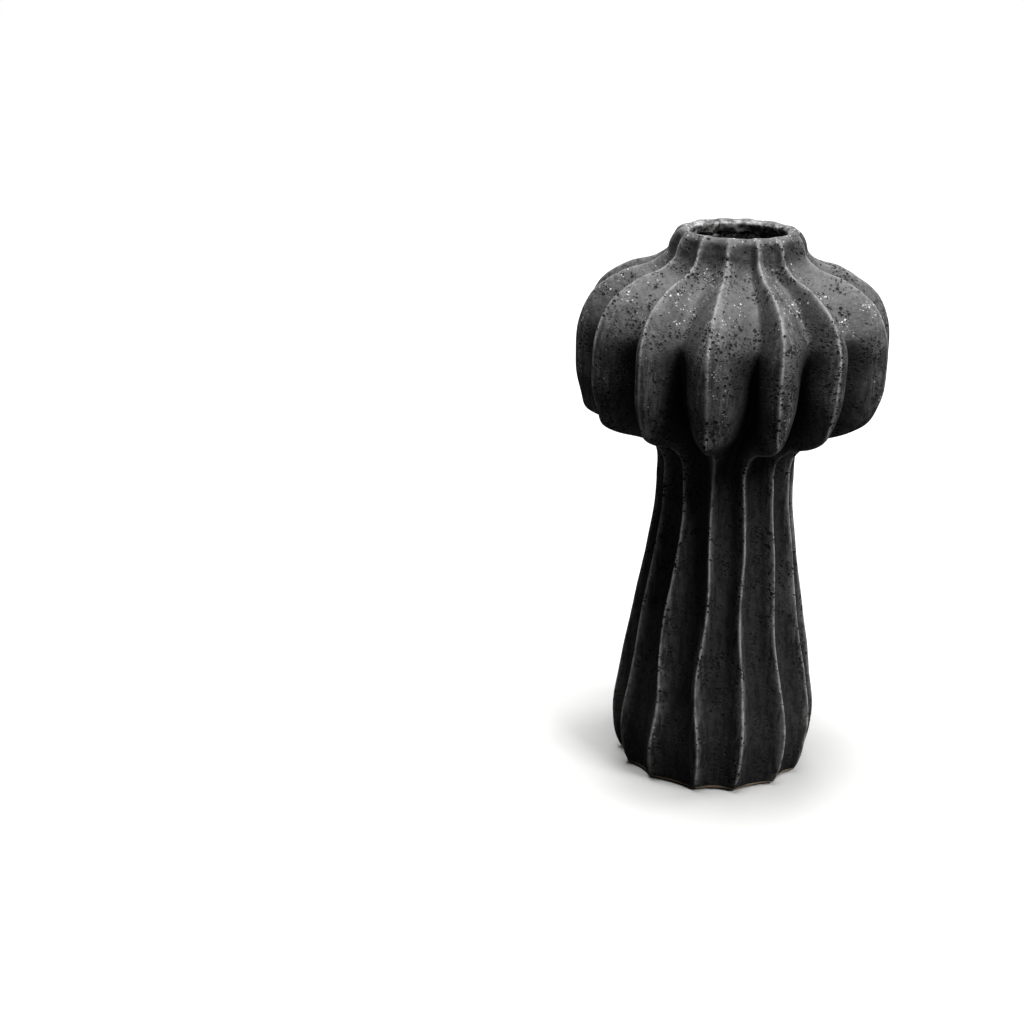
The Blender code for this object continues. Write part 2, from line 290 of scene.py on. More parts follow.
def wall_profile(levels):
    """Return the station values at each level, on a smooth curve through the stations."""
    levels = np.atleast_1d(levels)
    index = np.clip(levels.astype(int), 0, len(SPANS) - 1)
    share = (levels - index)[:, None]
    span = SPANS[index][:, None]
    cubic, square = share ** 3, share ** 2
    return (
        (2 * cubic - 3 * square + 1) * TABLE[index]
        + (cubic - 2 * square + share) * span * TANGENTS[index]
        + (3 * square - 2 * cubic) * TABLE[index + 1]
        + (cubic - square) * span * TANGENTS[index + 1]
    )


def rib_columns():
    """Return, for each column of points, its rib, its side and its place from crest to valley."""
    places = (np.arange(HALF_STEPS) / HALF_STEPS) ** CREST_CROWDING
    rows = []
    for rib in range(len(RIB_ANGLES)):
        rows += [(rib, 1, place) for place in places]
        following = (rib + 1) % len(RIB_ANGLES)
        rows += [(following, -1, place) for place in np.append(places[1:], 1.0)[::-1]]
    return np.array(rows)


COLUMNS = rib_columns()


def stem_share(heights):
    """Return 1 on the stem, 0 on the head, and a smooth step between them."""
    fade = np.clip((HEAD_START - heights) / TURN_HEIGHT, 0.0, 1.0)[:, None]
    return fade * fade * (3.0 - 2.0 * fade)


def crest_angles(heights):
    """Return the angle of every crest at each height, with its wander down the stem."""
    degrees, length, furthest = np.array(RIB_WAVES).T
    on_stem = stem_share(heights)
    lean = (LEAN_MIDDLE - on_stem) * np.array(RIB_LEANS)
    turn = 2 * np.pi * (heights[:, None] - furthest) / length
    wander = degrees * np.cos(turn) * on_stem
    lead = SWAY_LEAD * np.arange(len(RIB_WAVES))
    sway = SWAY_DEGREES * np.sin(2 * np.pi * heights[:, None] / SWAY_LENGTH + lead)
    return np.radians(np.array(RIB_ANGLES) + lean + wander + sway)


def rounded(distance, radius):
    """Return a distance from an edge with that edge rounded off; both run from 0 to 1."""
    return (np.sqrt(distance ** 2 + radius ** 2) - radius) / (np.sqrt(1 + radius ** 2) - radius)


def wall_points(levels, depth):
    """Return points on the wall (levels x columns x 3), with two masks for them.

    The first mask says how near each point is to a crest, and the second how far
    down in a fold it lies. Depth is 0 on the outer face and 1 on the inner face.
    """
    values = wall_profile(levels)
    ahead = wall_profile(np.minimum(levels + LEVEL_STEP, LIP_END))
    behind = wall_profile(np.maximum(levels - LEVEL_STEP, 0.0))
    run = ahead - behind
    faces = []
    for column, wall in ((CREST_AT, CREST_WALL), (VALLEY_AT, VALLEY_WALL)):
        forward = run[:, column:column + 2]
        inward = np.stack((-forward[:, 1], forward[:, 0]), axis=1)
        inward = inward / np.linalg.norm(forward, axis=1)[:, None]
        faces.append(values[:, column:column + 2] + inward * (values[:, wall] * depth)[:, None])
    crest, valley = faces
    rib, side, place = COLUMNS.T
    rib = rib.astype(int)
    crest_soft = values[:, CREST_SOFT, None] * (1.0 + INNER_CREST_ROUNDING * depth)
    valley_soft = values[:, VALLEY_SOFT, None] * (1.0 + INNER_VALLEY_ROUNDING * depth)
    flank = rounded(1.0 - rounded(1.0 - place, valley_soft), crest_soft)
    share = (1.0 - flank ** values[:, FLANK_ROUND, None]) ** values[:, FLANK_HOLLOW, None]
    radius = valley[:, 0:1] + (crest[:, 0:1] - valley[:, 0:1]) * share
    height = valley[:, 1:2] + (crest[:, 1:2] - valley[:, 1:2]) * share
    angles = crest_angles(values[:, 1])
    hang = np.exp(-((np.atleast_1d(levels)[:, None] - TIP_LEVEL) / TIP_SPAN) ** 2)
    tip = hang * np.array(RIB_TIPS)[rib] * (1.0 - place) * (1.0 - depth)
    radius = radius + TIP_REACH * tip
    height = height + TIP_LIFT * tip
    before = (rib - 1) % len(RIB_ANGLES)
    after = (rib + 1) % len(RIB_ANGLES)
    here = angles[:, rib]
    folds = EVEN_FOLD + (np.array(FOLD_PLACES) - EVEN_FOLD) * (1.0 - stem_share(values[:, 1]))
    gap_after = np.mod(angles[:, after] - here, 2 * np.pi) * folds[:, rib]
    gap_before = np.mod(here - angles[:, before], 2 * np.pi) * (1.0 - folds[:, before])
    half = np.where(side > 0, gap_after, gap_before)
    angle = here + side * place * half
    height = np.minimum(height, cad_high[2])
    points = np.stack((radius * np.sin(angle), -radius * np.cos(angle), height), axis=2)
    nearness = np.exp(-(place * half * radius / CREST_LINE) ** 2)
    return points, nearness, 1.0 - share


# Marks of the palm and of the fingers in the soft wall: how many to a metre, round
# and up, how far in the surface lies where there is none, and how deep they are.
PRESS_DEPTH = 0.0006
PALM_ROUND = 42.0
PALM_UP = 34.0
PALM_REST = 0.75
PALM_SHARE = 0.6
FINGER_ROUND = 170.0
FINGER_UP = 120.0
FINGER_SHIFT = 9.0
FINGER_REST = 0.6
FINGER_SHARE = 0.22


def hand_marks(points):
    """Return points pressed in a little, as a hand-built wall is, and hardly ever outwards."""
    flat = points.reshape(-1, 3)
    pressed = np.empty(len(flat))
    for index, (x, y, z) in enumerate(flat):
        wide = noise.noise(Vector((x * PALM_ROUND, y * PALM_ROUND, z * PALM_UP)))
        small = noise.noise(Vector((x * FINGER_ROUND + FINGER_SHIFT, y * FINGER_ROUND, z * FINGER_UP)))
        pressed[index] = (wide - PALM_REST) * PALM_SHARE + (small - FINGER_REST) * FINGER_SHARE
    radius = np.hypot(flat[:, 0], flat[:, 1])
    scale = 1.0 + pressed * PRESS_DEPTH / radius
    moved = flat.copy()
    moved[:, 0] *= scale
    moved[:, 1] *= scale
    return moved.reshape(points.shape)


# The fold mask where a face is neither on a crest nor in a fold.
PLAIN_FOLD = 0.5


def paint_mask(piece, name, values):
    """Store one number for each point, for the material to read."""
    layer = piece.data.attributes.new(name, "FLOAT", "POINT")
    layer.data.foreach_set("value", np.asarray(values, dtype=np.float32))


def looped_rows(total, count):
    """Return the faces that join each row of points to the next, and the last to the first."""
    faces = []
    for row in range(total):
        start, following = row * count, ((row + 1) % total) * count
        for column in range(count):
            beside = (column + 1) % count
            faces.append((start + column, start + beside, following + beside, following + column))
    return faces


def wall_section(name, low, high, material, rows, inner_rows):
    """Make one section of the wall between two joints: outside, top, inside and bottom."""
    outer, crest, fold = wall_points(np.linspace(low, high, rows), 0.0)
    inner = wall_points(np.linspace(high, low, inner_rows), 1.0)[0]
    outer = hand_marks(outer)
    points = np.concatenate((outer, inner))
    count = points.shape[1]
    total = len(points)
    piece = finish_mesh(name, points.reshape(-1, 3).tolist(), looped_rows(total, count), material)
    mark_joint_edges(piece, count, (rows - 1, rows, total - 1, 0))
    inside = np.zeros((total, count))
    inside[rows:] = 1.0
    paint_mask(piece, "crest", np.concatenate((crest, np.zeros(inner.shape[:2]))).ravel())
    paint_mask(piece, "fold", np.concatenate((fold, np.full(inner.shape[:2], PLAIN_FOLD))).ravel())
    paint_mask(piece, "inside", inside.ravel())
    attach(piece, "root")
    return piece


def mark_joint_edges(piece, count, rows):
    """Keep the shading of the wall apart from that of the joint faces."""
    wanted = set(rows)
    ends = np.empty(len(piece.data.edges) * 2, dtype=np.int64)
    piece.data.edges.foreach_get("vertices", ends)
    row_of = (ends // count).reshape(-1, 2)
    sharp = [bool(a == b and a in wanted) for a, b in row_of.tolist()]
    attributes = piece.data.attributes
    layer = attributes.get("sharp_edge") or attributes.new("sharp_edge", "BOOLEAN", "EDGE")
    layer.data.foreach_set("value", sharp)


def make_group(name, inputs, outputs):
    """Start a shader node group with named sockets; return its tree, input and output."""
    group = bpy.data.node_groups.new(name, "ShaderNodeTree")
    for label, kind, value in inputs:
        socket = group.interface.new_socket(label, in_out="INPUT", socket_type=kind)
        if value is not None:
            socket.default_value = value
    for label, kind in outputs:
        group.interface.new_socket(label, in_out="OUTPUT", socket_type=kind)
    return group, group.nodes.new("NodeGroupInput"), group.nodes.new("NodeGroupOutput")


def link(tree, *pairs):
    """Join sockets in pairs."""
    for source, target in pairs:
        tree.links.new(source, target)


def feed(tree, socket, value):
    """Set an input to a number or a colour, or link another socket to it."""
    if hasattr(value, "is_linked"):
        tree.links.new(value, socket)
    else:
        socket.default_value = value


def remap(tree, source, low, high, to_low=0.0, to_high=1.0):
    """Add a Map Range node with soft ends on a value and return its result."""
    node = tree.nodes.new("ShaderNodeMapRange")
    node.interpolation_type = "SMOOTHSTEP"
    ends = (("From Min", low), ("From Max", high), ("To Min", to_low), ("To Max", to_high))
    for label, value in ends:
        feed(tree, node.inputs[label], value)
    tree.links.new(source, node.inputs["Value"])
    return node.outputs["Result"]


def math_node(tree, operation, first, second):
    """Add a Math node; either side may be a number or a socket."""
    node = tree.nodes.new("ShaderNodeMath")
    node.operation = operation
    feed(tree, node.inputs[0], first)
    feed(tree, node.inputs[1], second)
    return node.outputs[0]


# Pinholes: small open pits that gas leaves in a thick volcanic glaze. They gather
# in patches, and each pit has its own size and a ragged edge.
pits, into, out = make_group(
    "glaze_pinholes",
    (
        ("Vector", "NodeSocketVector", None),
        ("Spacing", "NodeSocketFloat", 400.0),
        ("Coverage", "NodeSocketFloat", 1.0),
        ("Width", "NodeSocketFloat", 0.4),
    ),
    (("Pit", "NodeSocketFloat"), ("Rim", "NodeSocketFloat")),
)
PIT_WALL = 0.6
PIT_HALO = 1.5
PIT_RAGGEDNESS = 0.0019
bend = add_node(pits, "ShaderNodeTexNoise", Scale=750.0, Detail=3.0, Roughness=0.6)
bend_amount = add_node(pits, "ShaderNodeVectorMath", operation="SCALE", Scale=PIT_RAGGEDNESS)
bent = add_node(pits, "ShaderNodeVectorMath", operation="ADD")
cells = add_node(pits, "ShaderNodeTexVoronoi", feature="F1", Randomness=1.0)
patch = add_node(pits, "ShaderNodeTexNoise", Scale=48.0, Detail=4.0, Roughness=0.65)
chance = add_node(pits, "ShaderNodeSeparateColor")
link(
    pits,
    (into.outputs["Vector"], bend.inputs["Vector"]),
    (bend.outputs["Color"], bend_amount.inputs[0]),
    (into.outputs["Vector"], bent.inputs[0]),
    (bend_amount.outputs[0], bent.inputs[1]),
    (bent.outputs[0], cells.inputs["Vector"]),
    (into.outputs["Spacing"], cells.inputs["Scale"]),
    (into.outputs["Vector"], patch.inputs["Vector"]),
    (cells.outputs["Color"], chance.inputs["Color"]),
)
patchy = remap(pits, patch.outputs["Fac"], 0.45, 0.60, to_low=0.04, to_high=1.0)
density = math_node(pits, "MULTIPLY", patchy, into.outputs["Coverage"])
chosen = math_node(pits, "LESS_THAN", chance.outputs["Red"], density)
varied = remap(pits, chance.outputs["Green"], 0.0, 1.0, to_low=0.5, to_high=1.15)
width = math_node(pits, "MULTIPLY", varied, into.outputs["Width"])
inner_edge = math_node(pits, "MULTIPLY", width, PIT_WALL)
hollow = math_node(pits, "SUBTRACT", 1.0, remap(pits, cells.outputs["Distance"], inner_edge, width))
outer_edge = math_node(pits, "MULTIPLY", width, PIT_HALO)
halo = math_node(pits, "SUBTRACT", 1.0, remap(pits, cells.outputs["Distance"], width, outer_edge))
link(
    pits,
    (math_node(pits, "MULTIPLY", hollow, chosen), out.inputs["Pit"]),
    (math_node(pits, "MULTIPLY", halo, chosen), out.inputs["Rim"]),
)

# Painted glints: tiny pale specks painted into the glaze as highlights, on faces that
# turn upwards and along the ribs.
painted_glints, into, out = make_group(
    "glaze_glints",
    (
        ("Vector", "NodeSocketVector", None),
        ("Ridge", "NodeSocketFloat", 0.0),
        ("Spacing", "NodeSocketFloat", 640.0),
    ),
    (("Speck", "NodeSocketFloat"),),
)
RIDGE_GLINT_SHARE = 0.7
GLINT_CORE = 0.6
GLINT_RAGGEDNESS = 0.0016
bend = add_node(painted_glints, "ShaderNodeTexNoise", Scale=900.0, Detail=2.0)
bend_amount = add_node(painted_glints, "ShaderNodeVectorMath", operation="SCALE", Scale=GLINT_RAGGEDNESS)
bent = add_node(painted_glints, "ShaderNodeVectorMath", operation="ADD")
cells = add_node(painted_glints, "ShaderNodeTexVoronoi", feature="F1", Randomness=1.0)
patch = add_node(painted_glints, "ShaderNodeTexNoise", Scale=62.0, Detail=4.0, Roughness=0.7)
chance = add_node(painted_glints, "ShaderNodeSeparateColor")
facing = add_node(painted_glints, "ShaderNodeNewGeometry")
upward = add_node(painted_glints, "ShaderNodeSeparateXYZ")
link(
    painted_glints,
    (into.outputs["Vector"], bend.inputs["Vector"]),
    (bend.outputs["Color"], bend_amount.inputs[0]),
    (into.outputs["Vector"], bent.inputs[0]),
    (bend_amount.outputs[0], bent.inputs[1]),
    (bent.outputs[0], cells.inputs["Vector"]),
    (into.outputs["Spacing"], cells.inputs["Scale"]),
    (into.outputs["Vector"], patch.inputs["Vector"]),
    (cells.outputs["Color"], chance.inputs["Color"]),
    (facing.outputs["Normal"], upward.inputs["Vector"]),
)
faces_up = remap(painted_glints, upward.outputs["Z"], 0.22, 0.6)
on_ridge = math_node(painted_glints, "MULTIPLY", into.outputs["Ridge"], RIDGE_GLINT_SHARE)
glint_places = math_node(painted_glints, "MAXIMUM", faces_up, on_ridge)
patchy = remap(painted_glints, patch.outputs["Fac"], 0.50, 0.61)
density = math_node(painted_glints, "MULTIPLY", patchy, glint_places)
chosen = math_node(painted_glints, "LESS_THAN", chance.outputs["Blue"], density)
size = remap(painted_glints, chance.outputs["Green"], 0.0, 1.0, to_low=0.15, to_high=0.5)
core = math_node(painted_glints, "MULTIPLY", size, GLINT_CORE)
grain = math_node(painted_glints, "SUBTRACT", 1.0, remap(painted_glints, cells.outputs["Distance"], core, size))
shine = remap(painted_glints, chance.outputs["Red"], 0.0, 1.0, to_low=0.25, to_high=1.0)
speck = math_node(painted_glints, "MULTIPLY", math_node(painted_glints, "MULTIPLY", grain, chosen), shine)
link(painted_glints, (speck, out.inputs["Speck"]))

# Crest line: a pale line painted along a sharp crest, partly a painted highlight where
# the edge catches the light and partly glaze spread thinly over the crest.
crest_line_group, into, out = make_group(
    "crest_line_sheen",
    (
        ("Vector", "NodeSocketVector", None),
        ("Crest", "NodeSocketFloat", 0.0),
        ("Amount", "NodeSocketFloat", 1.0),
    ),
    (("Pale Line", "NodeSocketFloat"),),
)
breaks = add_node(crest_line_group, "ShaderNodeTexNoise", Scale=120.0, Detail=4.0, Roughness=0.65)
link(crest_line_group, (into.outputs["Vector"], breaks.inputs["Vector"]))
broken = remap(crest_line_group, breaks.outputs["Fac"], 0.36, 0.58, to_low=0.3, to_high=1.0)
broken_line = math_node(crest_line_group, "MULTIPLY", into.outputs["Crest"], broken)
line_paleness = math_node(crest_line_group, "MULTIPLY", broken_line, into.outputs["Amount"])
link(crest_line_group, (line_paleness, out.inputs["Pale Line"]))


def mix_colour(tree, factor, first, second):
    """Blend two colours; each may be a colour or a socket."""
    node = add_node(tree, "ShaderNodeMix", data_type="RGBA")
    for label, value in (("Factor", factor), ("A", first), ("B", second)):
        feed(tree, node.inputs[label], value)
    return node.outputs["Result"]


# Near black for dark glaze runs, also used as painted shade deep in the folds.
GLAZE_POOLED_AND_SHADE = (0.006, 0.006, 0.006, 1.0)
GLAZE_DARK = (0.026, 0.026, 0.027, 1.0)
GLAZE_MID = (0.040, 0.039, 0.040, 1.0)
GLAZE_PALE = (0.066, 0.065, 0.066, 1.0)
# Paler grey near the ridges: partly glaze spread thinly, partly a painted highlight.
THIN_GLAZE_AND_RIDGE_SHEEN = (0.150, 0.149, 0.149, 1.0)
# Painted top light: the grey of faces that turn upwards.
TOP_LIGHT_GREY = (0.105, 0.104, 0.104, 1.0)
LINING_GREY = (0.52, 0.515, 0.51, 1.0)
# Painted highlight on the crest line, partly glaze spread thinly there.
CREST_HIGHLIGHT_GREY = (0.42, 0.415, 0.41, 1.0)
# Painted glints.
GLINT_WHITE = (0.72, 0.71, 0.70, 1.0)
PIT_BLACK = (0.0025, 0.0025, 0.0025, 1.0)
GLAZE_RELIEF = 0.0006

# Heights in metres between which the glaze changes: pits open up on the underside
# of the head, runs show less above the stem, the painted shade in the folds (partly
# glaze pooling) grows stronger towards the head, and it stops above the widest line.
BELLY_START, BELLY_FULL = 0.215, 0.245
RUNS_FULL, RUNS_FAINT = 0.20, 0.24
FOLD_SHADE_START, FOLD_SHADE_FULL = 0.19, 0.23
FOLD_SHADE_FADE, FOLD_SHADE_END = 0.272, 0.302

# How much longer a run is than it is wide, as the squeeze of its pattern upwards.
RUN_SQUEEZE = (1.0, 1.0, 0.16)


def glaze_layers(tree, vector):
    """Lay out the charcoal glaze, with its painted shade and highlights: return its colour, roughness and
    height.
    """
    crest = add_node(tree, "ShaderNodeAttribute", attribute_name="crest")
    fold = add_node(tree, "ShaderNodeAttribute", attribute_name="fold")
    inside = add_node(tree, "ShaderNodeAttribute", attribute_name="inside")
    facing = add_node(tree, "ShaderNodeNewGeometry")
    upward = add_node(tree, "ShaderNodeSeparateXYZ")
    link(tree, (facing.outputs["Normal"], upward.inputs["Vector"]))
    place = add_node(tree, "ShaderNodeSeparateXYZ")
    pinholes = add_node(tree, "ShaderNodeGroup", node_tree=pits)
    pinpricks = add_node(tree, "ShaderNodeGroup", node_tree=pits)
    glint_specks = add_node(tree, "ShaderNodeGroup", node_tree=painted_glints)
    crest_sheen = add_node(tree, "ShaderNodeGroup", node_tree=crest_line_group)
    pinholes.inputs["Spacing"].default_value = 370.0
    pinholes.inputs["Width"].default_value = 0.46
    pinpricks.inputs["Spacing"].default_value = 640.0
    pinpricks.inputs["Width"].default_value = 0.42
    crest_sheen.inputs["Amount"].default_value = 1.3
    clouds = add_node(tree, "ShaderNodeTexNoise", Scale=26.0, Detail=5.0, Roughness=0.6)
    mottle = add_node(tree, "ShaderNodeTexNoise", Scale=330.0, Detail=4.0, Roughness=0.68)
    grain = add_node(tree, "ShaderNodeTexNoise", Scale=950.0, Detail=3.0, Roughness=0.7)
    drawn_out = add_node(tree, "ShaderNodeVectorMath", operation="MULTIPLY")
    drawn_out.inputs[1].default_value = RUN_SQUEEZE
    runs = add_node(tree, "ShaderNodeTexNoise", Scale=330.0, Detail=4.0, Roughness=0.65)
    link(tree, (vector, drawn_out.inputs[0]), (drawn_out.outputs[0], runs.inputs["Vector"]))
    lumps = add_node(tree, "ShaderNodeTexNoise", Scale=170.0, Detail=3.0, Roughness=0.55)
    for node in (place, pinholes, pinpricks, glint_specks, crest_sheen, clouds, mottle, grain, lumps):
        link(tree, (vector, node.inputs["Vector"]))
    link(tree, (crest.outputs["Fac"], crest_sheen.inputs["Crest"]))
    ridge = remap(tree, fold.outputs["Fac"], 0.22, 0.04)
    link(tree, (ridge, glint_specks.inputs["Ridge"]))
    belly = math_node(
        tree, "MULTIPLY",
        remap(tree, place.outputs["Z"], BELLY_START, BELLY_FULL, to_low=1.0, to_high=1.9),
        remap(tree, upward.outputs["Z"], 0.2, 0.75, to_low=1.0, to_high=0.25),
    )
    for node in (pinholes, pinpricks):
        link(tree, (belly, node.inputs["Coverage"]))
    pit = math_node(tree, "MAXIMUM", pinholes.outputs["Pit"], pinpricks.outputs["Pit"])
    rim = math_node(tree, "MAXIMUM", pinholes.outputs["Rim"], pinpricks.outputs["Rim"])
    ash = mix_colour(tree, remap(tree, clouds.outputs["Fac"], 0.3, 0.7), GLAZE_DARK, GLAZE_MID)
    mottled = mix_colour(tree, remap(tree, mottle.outputs["Fac"], 0.36, 0.68), ash, GLAZE_PALE)
    # Painted top light: faces that turn upwards are painted paler.
    lit_from_above = remap(tree, upward.outputs["Z"], 0.05, 0.75, to_low=0.0, to_high=0.7)
    top_lit = mix_colour(tree, lit_from_above, mottled, TOP_LIGHT_GREY)
    steep = remap(tree, place.outputs["Z"], RUNS_FULL, RUNS_FAINT, to_low=1.0, to_high=0.35)
    streak = remap(tree, runs.outputs["Fac"], 0.55, 0.40, to_low=0.0, to_high=0.9)
    streaked = mix_colour(tree, math_node(tree, "MULTIPLY", streak, steep), top_lit, GLAZE_POOLED_AND_SHADE)
    # Painted highlight along the ridges, partly glaze spread thinly there: paler bands near each crest.
    bands = remap(tree, runs.outputs["Fac"], 0.42, 0.60, to_low=0.08, to_high=0.8)
    near_ridge = remap(tree, fold.outputs["Fac"], 0.5, 0.03)
    ridge_sheened = mix_colour(tree, math_node(tree, "MULTIPLY", near_ridge, bands), streaked, THIN_GLAZE_AND_RIDGE_SHEEN)
    # Painted shade in the folds, partly glaze pooling: darker deep in each fold, weaker on the stem, and
    # none above the widest line, where the folds are lit.
    below = remap(tree, place.outputs["Z"], FOLD_SHADE_FADE, FOLD_SHADE_END, to_low=1.0, to_high=0.0)
    shade_rise = remap(tree, place.outputs["Z"], FOLD_SHADE_START, FOLD_SHADE_FULL, to_low=0.62, to_high=1.0)
    fold_shade_weight = math_node(tree, "MULTIPLY", below, shade_rise)
    in_fold = remap(tree, fold.outputs["Fac"], 0.22, 0.82, to_low=0.0, to_high=0.97)
    fold_shaded = mix_colour(tree, math_node(tree, "MULTIPLY", in_fold, fold_shade_weight), ridge_sheened, GLAZE_POOLED_AND_SHADE)
    crust = remap(tree, lumps.outputs["Fac"], 0.42, 0.6)
    crusted = math_node(tree, "MULTIPLY", inside.outputs["Fac"], crust)
    lining = mix_colour(tree, crusted, fold_shaded, LINING_GREY)
    # Painted highlight on the crest line, partly glaze spread thinly there, weaker on faces that turn up.
    upright = remap(tree, upward.outputs["Z"], 0.25, 0.85, to_low=1.0, to_high=0.3)
    lit_crest = math_node(tree, "MULTIPLY", crest_sheen.outputs["Pale Line"], upright)
    pale = mix_colour(tree, lit_crest, lining, CREST_HIGHLIGHT_GREY)
    # Painted glints: pale specks standing in for highlights.
    specked = mix_colour(tree, glint_specks.outputs["Speck"], pale, GLINT_WHITE)
    colour = mix_colour(tree, pit, specked, PIT_BLACK)
    satin = remap(tree, clouds.outputs["Fac"], 0.3, 0.7, to_low=0.48, to_high=0.6)
    gritty = math_node(tree, "ADD", satin, math_node(tree, "MULTIPLY", mottle.outputs["Fac"], 0.16))
    roughness = math_node(tree, "ADD", gritty, math_node(tree, "MULTIPLY", pit, 0.3))
    height = math_node(tree, "MULTIPLY", lumps.outputs["Fac"], 0.9)
    for source, amount in (
        (runs.outputs["Fac"], 0.9),
        (mottle.outputs["Fac"], 0.8),
        (grain.outputs["Fac"], 0.25),
        (rim, 0.2),
        (glint_specks.outputs["Speck"], 0.25),
        (pit, -1.1),
    ):
        height = math_node(tree, "ADD", height, math_node(tree, "MULTIPLY", source, amount))
    return colour, roughness, height


CLAY_BROWN = (0.24, 0.17, 0.11, 1.0)
CLAY_BUFF = (0.36, 0.27, 0.18, 1.0)
CLAY_SAND = (0.45, 0.37, 0.28, 1.0)
IRON_SPOT = (0.07, 0.04, 0.025, 1.0)


def clay_layers(tree, vector):
    """Lay out bare buff stoneware: return its colour, roughness and height."""
    sand = add_node(tree, "ShaderNodeTexNoise", Scale=1100.0, Detail=3.0, Roughness=0.7)
    flame = add_node(tree, "ShaderNodeTexNoise", Scale=45.0, Detail=3.0)
    iron = add_node(tree, "ShaderNodeTexVoronoi", Scale=420.0)
    for node in (sand, flame, iron):
        link(tree, (vector, node.inputs["Vector"]))
    flamed = mix_colour(tree, remap(tree, flame.outputs["Fac"], 0.35, 0.65), CLAY_BROWN, CLAY_BUFF)
    sanded = mix_colour(tree, math_node(tree, "MULTIPLY", sand.outputs["Fac"], 0.5), flamed, CLAY_SAND)
    colour = mix_colour(tree, remap(tree, iron.outputs["Distance"], 0.22, 0.08), sanded, IRON_SPOT)
    roughness = remap(tree, sand.outputs["Fac"], 0.2, 0.8, to_low=0.82, to_high=0.97)
    return colour, roughness, math_node(tree, "MULTIPLY", sand.outputs["Fac"], 0.3)


foot_material, tree, shader = new_material("glazed_foot")
coords = add_node(tree, "ShaderNodeTexCoord")
glaze_colour, glaze_roughness, glaze_height = glaze_layers(tree, coords.outputs["Object"])
clay_colour, clay_roughness, clay_height = clay_layers(tree, coords.outputs["Object"])
place = add_node(tree, "ShaderNodeSeparateXYZ")
drip = add_node(tree, "ShaderNodeTexNoise", Scale=70.0, Detail=3.0)
for node in (place, drip):
    link(tree, (coords.outputs["Object"], node.inputs["Vector"]))

# The glaze stops a little above the bottom of the clay, at a wavy line with a soft
# edge.
BARE_CLAY = 0.0011
GLAZE_LINE = TABLE[0, 1] + BARE_CLAY
DRIP_DEPTH = 0.003
GLAZE_EDGE = 0.0005
dripping = math_node(tree, "MULTIPLY", drip.outputs["Fac"], -DRIP_DEPTH)
wavy = math_node(tree, "ADD", place.outputs["Z"], dripping)
level = math_node(tree, "ADD", wavy, DRIP_DEPTH / 2)
glazed = remap(tree, level, GLAZE_LINE, GLAZE_LINE + GLAZE_EDGE)
colour = mix_colour(tree, glazed, clay_colour, glaze_colour)
rough_pick = add_node(tree, "ShaderNodeMix", data_type="FLOAT")
height_pick = add_node(tree, "ShaderNodeMix", data_type="FLOAT")
relief = add_node(tree, "ShaderNodeBump", Strength=1.0, Distance=GLAZE_RELIEF)
link(
    tree,
    (glazed, rough_pick.inputs["Factor"]),
    (clay_roughness, rough_pick.inputs["A"]),
    (glaze_roughness, rough_pick.inputs["B"]),
    (glazed, height_pick.inputs["Factor"]),
    (clay_height, height_pick.inputs["A"]),
    (glaze_height, height_pick.inputs["B"]),
    (colour, shader.inputs["Base Color"]),
    (rough_pick.outputs["Result"], shader.inputs["Roughness"]),
    (height_pick.outputs["Result"], relief.inputs["Height"]),
    (relief.outputs["Normal"], shader.inputs["Normal"]),
)

# The slab's underside in rings, as shares of the radius, then its edge in rows, then
# its inner floor in rings, at the height of that floor.
UNDERSIDE_RINGS = (0.3, 0.6, 0.85, 0.97)
FLOOR_RINGS = (0.6, 0.25)
SLAB_FLOOR = 0.0092
FOOT_ROWS = 14
slab_outer, slab_crest, slab_fold = wall_points(np.linspace(0.0, FOOT_JOINT, FOOT_ROWS), 0.0)
slab_outer = hand_marks(slab_outer)
slab_outer[0, :, 2] = TABLE[0, 1]
slab_rows = [slab_outer[0] * (share, share, 1.0) for share in UNDERSIDE_RINGS]
slab_rows += list(slab_outer)
slab_inner = wall_points(np.array([FOOT_JOINT]), 1.0)[0][0]
slab_inner[:, 2] = SLAB_FLOOR
slab_rows += [slab_inner]
slab_rows += [slab_inner * (share, share, 1.0) for share in FLOOR_RINGS]
slab_points = np.array(slab_rows)
count = slab_points.shape[1]
slab_verts = [(0.0, 0.0, TABLE[0, 1])]
slab_verts += slab_points.reshape(-1, 3).tolist()
slab_verts += [(0.0, 0.0, SLAB_FLOOR)]
slab_faces = capped_rings(len(slab_rows), count)
base_slab = finish_mesh("base_slab_visual", slab_verts, slab_faces, foot_material, smooth_angle=60.0)
edge_start = 1 + len(UNDERSIDE_RINGS) * count
edge_end = edge_start + FOOT_ROWS * count
crest_mask = np.zeros(len(slab_verts))
crest_mask[edge_start:edge_end] = slab_crest.ravel()
paint_mask(base_slab, "crest", crest_mask)
fold_mask = np.full(len(slab_verts), PLAIN_FOLD)
fold_mask[edge_start:edge_end] = slab_fold.ravel()
paint_mask(base_slab, "fold", fold_mask)
paint_mask(base_slab, "inside", np.zeros(len(slab_verts)))
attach(base_slab, "root")
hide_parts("base_slab")


# ---------------------------------------------------------------------------
# Stem wall
# A fluted tube of clay that swells just above the foot and narrows to the throat.
# It is luted to the slab, and the matt charcoal glaze covers it all over.
# ---------------------------------------------------------------------------

glaze, tree, shader = new_material("charcoal_glaze")
coords = add_node(tree, "ShaderNodeTexCoord")
colour, roughness, height = glaze_layers(tree, coords.outputs["Object"])
relief = add_node(tree, "ShaderNodeBump", Strength=1.0, Distance=GLAZE_RELIEF)
link(
    tree,
    (colour, shader.inputs["Base Color"]),
    (roughness, shader.inputs["Roughness"]),
    (height, relief.inputs["Height"]),
    (relief.outputs["Normal"], shader.inputs["Normal"]),
)

